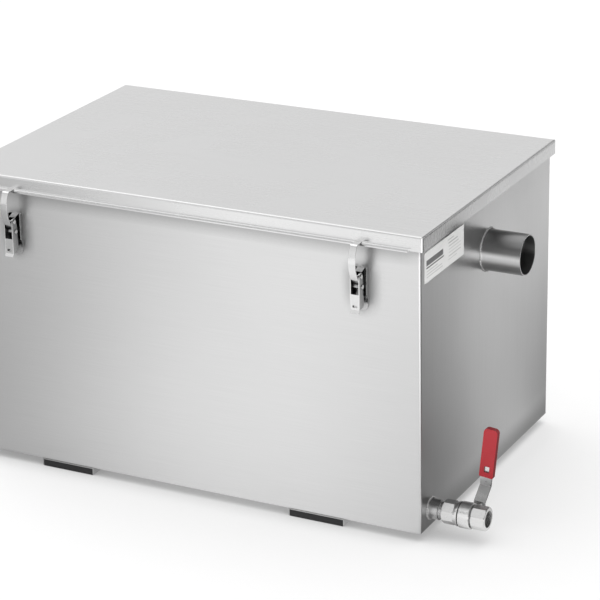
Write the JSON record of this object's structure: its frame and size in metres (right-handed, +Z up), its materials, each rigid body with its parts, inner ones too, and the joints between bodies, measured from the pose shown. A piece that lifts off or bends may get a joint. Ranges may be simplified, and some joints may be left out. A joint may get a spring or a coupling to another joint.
{
  "type": "grease trap",
  "caption": "Rectangular stainless grease trap with a latched lift-off lid, side pipes, inner baffles, a sediment basket and a drain ball valve with a red lever.",
  "frame": {"origin": "on the floor, under the middle of the whole object's box", "axes": "+X towards the outlet and the drain valve, -Y towards the front, +Z up"},
  "size_m": [0.7326, 0.4418, 0.38],
  "materials": {
    "tank_sheet": "fine brushed stainless sheet",
    "lid_sheet": "fine brushed stainless sheet, a little brighter",
    "pipe_steel": "turned and drawn stainless tube",
    "latch_steel": "polished stainless pressings",
    "valve_metal": "nickel-plated brass",
    "ball_chrome": "hard chrome",
    "lever_steel": "zinc-plated strip",
    "seat_plastic": "white sealing plastic",
    "grip_plastic": "red dipped vinyl",
    "black_rubber": "black rubber strip"
  },
  "bodies": {
    "tank": {"tank_body": "tank_sheet", "inlet_pipe": "pipe_steel", "outlet_pipe": "pipe_steel", "outlet_elbow": "pipe_steel", "inlet_baffle": "tank_sheet", "outlet_baffle": "tank_sheet", "inlet_guide_front": "tank_sheet", "inlet_guide_rear": "tank_sheet", "outlet_guide_front": "tank_sheet", "outlet_guide_rear": "tank_sheet", "sediment_basket": "tank_sheet", "basket_handle": "pipe_steel", "basket_ledge_front": "tank_sheet", "basket_ledge_rear": "tank_sheet", "foot_channel_left": "tank_sheet", "foot_channel_right": "tank_sheet", "foot_pad_left": "black_rubber", "foot_pad_right": "black_rubber", "latch_base_front_left": "latch_steel", "latch_base_front_right": "latch_steel", "latch_base_rear_left": "latch_steel", "latch_base_rear_right": "latch_steel", "latch_pivot_front_left": "latch_steel", "latch_pivot_front_right": "latch_steel", "latch_pivot_rear_left": "latch_steel", "latch_pivot_rear_right": "latch_steel", "drain_nipple": "pipe_steel", "valve_end_piece": "valve_metal", "valve_body": "valve_metal", "valve_seat_inner": "seat_plastic", "valve_seat_outer": "seat_plastic", "valve_gland_nut": "valve_metal"},
    "lid": {"lid_shell": "lid_sheet", "lid_gasket": "black_rubber"},
    "valve_handle": {"valve_ball": "ball_chrome", "valve_stem": "valve_metal", "valve_lever": "lever_steel", "valve_lever_nut": "valve_metal", "valve_grip": "grip_plastic"},
    "lever_front_left": {"latch_lever_front_left": "latch_steel", "latch_pin_front_left": "latch_steel"},
    "strap_front_left": {"latch_strap_front_left": "latch_steel"},
    "lever_front_right": {"latch_lever_front_right": "latch_steel", "latch_pin_front_right": "latch_steel"},
    "strap_front_right": {"latch_strap_front_right": "latch_steel"},
    "lever_rear_left": {"latch_lever_rear_left": "latch_steel", "latch_pin_rear_left": "latch_steel"},
    "strap_rear_left": {"latch_strap_rear_left": "latch_steel"},
    "lever_rear_right": {"latch_lever_rear_right": "latch_steel", "latch_pin_rear_right": "latch_steel"},
    "strap_rear_right": {"latch_strap_rear_right": "latch_steel"}
  },
  "joints": [
    {"name": "lid_lift", "type": "slide", "parent": "tank", "child": "lid", "axis": [0, 0, 1], "range_m": [0, 0.4]},
    {"name": "latch_open_front_left", "type": "hinge", "parent": "tank", "child": "lever_front_left", "pos_m": [-0.24325, -0.209, 0.326], "axis": [-1, 0, 0], "range_deg": [0, 100]},
    {"name": "strap_swing_front_left", "type": "hinge", "parent": "lever_front_left", "child": "strap_front_left", "pos_m": [-0.24325, -0.2065, 0.313], "axis": [-1, 0, 0], "range_deg": [-100, 0]},
    {"name": "latch_open_front_right", "type": "hinge", "parent": "tank", "child": "lever_front_right", "pos_m": [0.22075, -0.209, 0.326], "axis": [-1, 0, 0], "range_deg": [0, 100]},
    {"name": "strap_swing_front_right", "type": "hinge", "parent": "lever_front_right", "child": "strap_front_right", "pos_m": [0.22075, -0.2065, 0.313], "axis": [-1, 0, 0], "range_deg": [-100, 0]},
    {"name": "latch_open_rear_left", "type": "hinge", "parent": "tank", "child": "lever_rear_left", "pos_m": [-0.24325, 0.209, 0.326], "axis": [1, 0, 0], "range_deg": [0, 100]},
    {"name": "strap_swing_rear_left", "type": "hinge", "parent": "lever_rear_left", "child": "strap_rear_left", "pos_m": [-0.24325, 0.2065, 0.313], "axis": [1, 0, 0], "range_deg": [-100, 0]},
    {"name": "latch_open_rear_right", "type": "hinge", "parent": "tank", "child": "lever_rear_right", "pos_m": [0.22075, 0.209, 0.326], "axis": [1, 0, 0], "range_deg": [0, 100]},
    {"name": "strap_swing_rear_right", "type": "hinge", "parent": "lever_rear_right", "child": "strap_rear_right", "pos_m": [0.22075, 0.2065, 0.313], "axis": [1, 0, 0], "range_deg": [-100, 0]},
    {"name": "valve_turn", "type": "hinge", "parent": "tank", "child": "valve_handle", "pos_m": [0.34375, -0.166, 0.033], "axis": [0, 1, 0], "range_deg": [-6, 84]}
  ],
  "couplings": [
    {"joint": "strap_swing_front_left", "follows": "latch_open_front_left", "ratio": -1},
    {"joint": "strap_swing_front_right", "follows": "latch_open_front_right", "ratio": -1},
    {"joint": "strap_swing_rear_left", "follows": "latch_open_rear_left", "ratio": -1},
    {"joint": "strap_swing_rear_right", "follows": "latch_open_rear_right", "ratio": -1}
  ]
}
